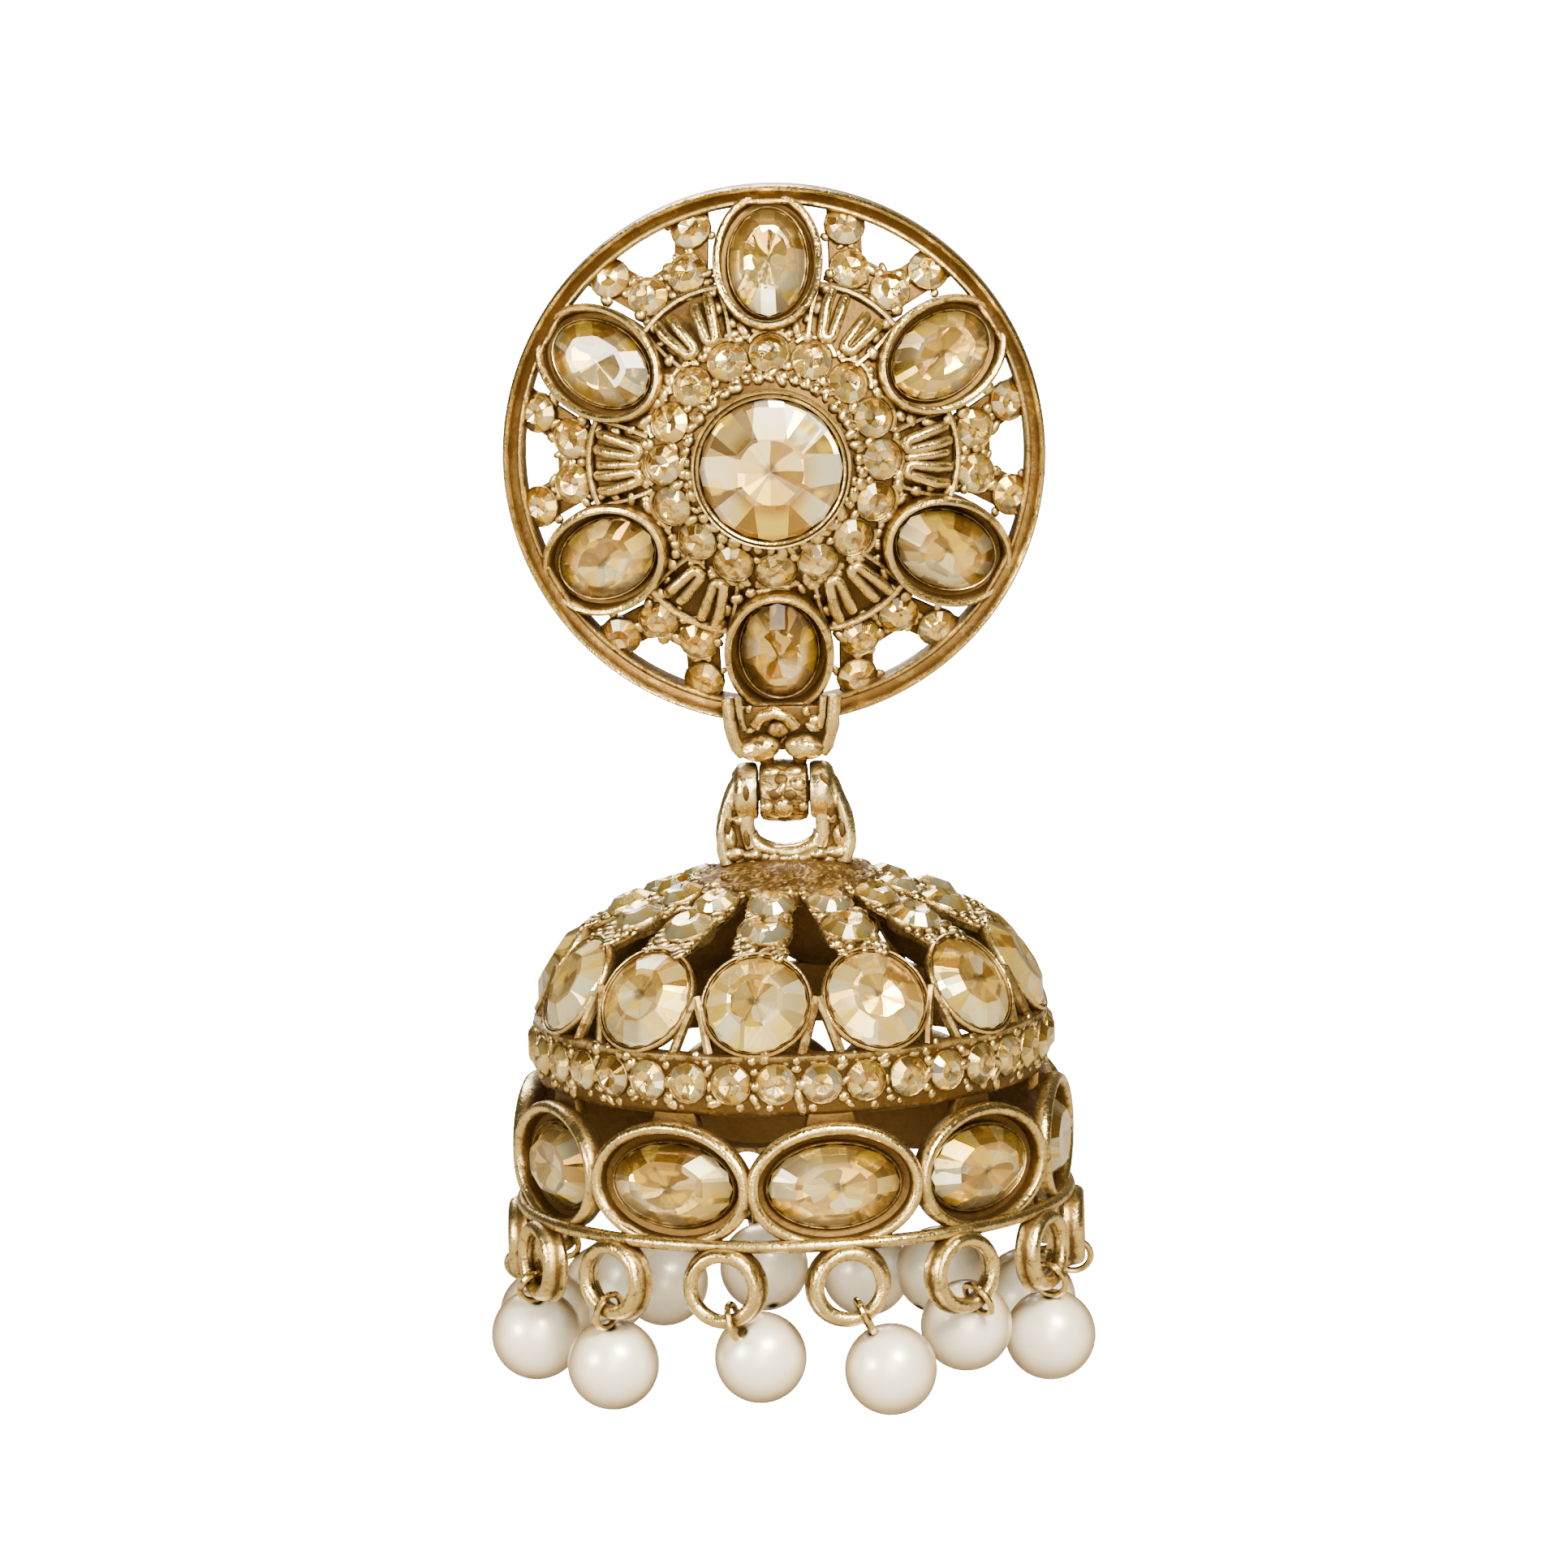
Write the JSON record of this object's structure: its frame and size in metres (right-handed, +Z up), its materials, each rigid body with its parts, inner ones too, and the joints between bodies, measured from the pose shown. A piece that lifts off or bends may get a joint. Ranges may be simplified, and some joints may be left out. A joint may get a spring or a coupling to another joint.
{
  "type": "jhumka earring",
  "caption": "Stud-topped jhumka earring: an openwork round stud with oval stones, and a stone-set bell hinged below it with a fringe of pearl drops.",
  "frame": {"origin": "on the stud's axis, in the flat plane of the back of its rim, where the ear post crosses it", "axes": "+Z up as worn, +Y backwards along the ear post, -Y the stone-set front, +X to the right of someone who looks at the front"},
  "size_m": [0.0334, 0.033, 0.0666],
  "materials": {
    "gold": "antique gold plate, bright edges and dark recesses",
    "stone": "faceted, foil-backed champagne glass",
    "pearl": "creamy imitation pearl on a gold wire eye"
  },
  "bodies": {
    "stud": {"stud_frame": "gold", "ear_post": "gold", "centre_stone": "stone", "stud_oval_01": "stone", "stud_oval_02": "stone", "stud_oval_03": "stone", "stud_oval_04": "stone", "stud_oval_05": "stone", "stud_oval_06": "stone"},
    "bell": {"bell_frame": "gold", "dome_stone_01": "stone", "dome_stone_02": "stone", "dome_stone_03": "stone", "dome_stone_04": "stone", "dome_stone_05": "stone", "dome_stone_06": "stone", "dome_stone_07": "stone", "dome_stone_08": "stone", "dome_stone_09": "stone", "dome_stone_10": "stone", "dome_stone_11": "stone", "dome_stone_12": "stone", "bell_oval_01": "stone", "bell_oval_02": "stone", "bell_oval_03": "stone", "bell_oval_04": "stone", "bell_oval_05": "stone", "bell_oval_06": "stone", "bell_oval_07": "stone", "bell_oval_08": "stone", "bell_oval_09": "stone", "bell_oval_10": "stone", "pearl_drop_01": "pearl", "pearl_drop_02": "pearl", "pearl_drop_03": "pearl", "pearl_drop_04": "pearl", "pearl_drop_05": "pearl", "pearl_drop_06": "pearl", "pearl_drop_07": "pearl", "pearl_drop_08": "pearl", "pearl_drop_09": "pearl", "pearl_drop_10": "pearl", "pearl_drop_11": "pearl", "pearl_drop_12": "pearl", "pearl_drop_13": "pearl", "pearl_drop_14": "pearl"}
  },
  "joints": [
    {"name": "bell_swing", "type": "hinge", "parent": "stud", "child": "bell", "pos_m": [0, -0.0012, -0.0187], "axis": [1, 0, 0], "range_deg": [-60, 60]}
  ]
}
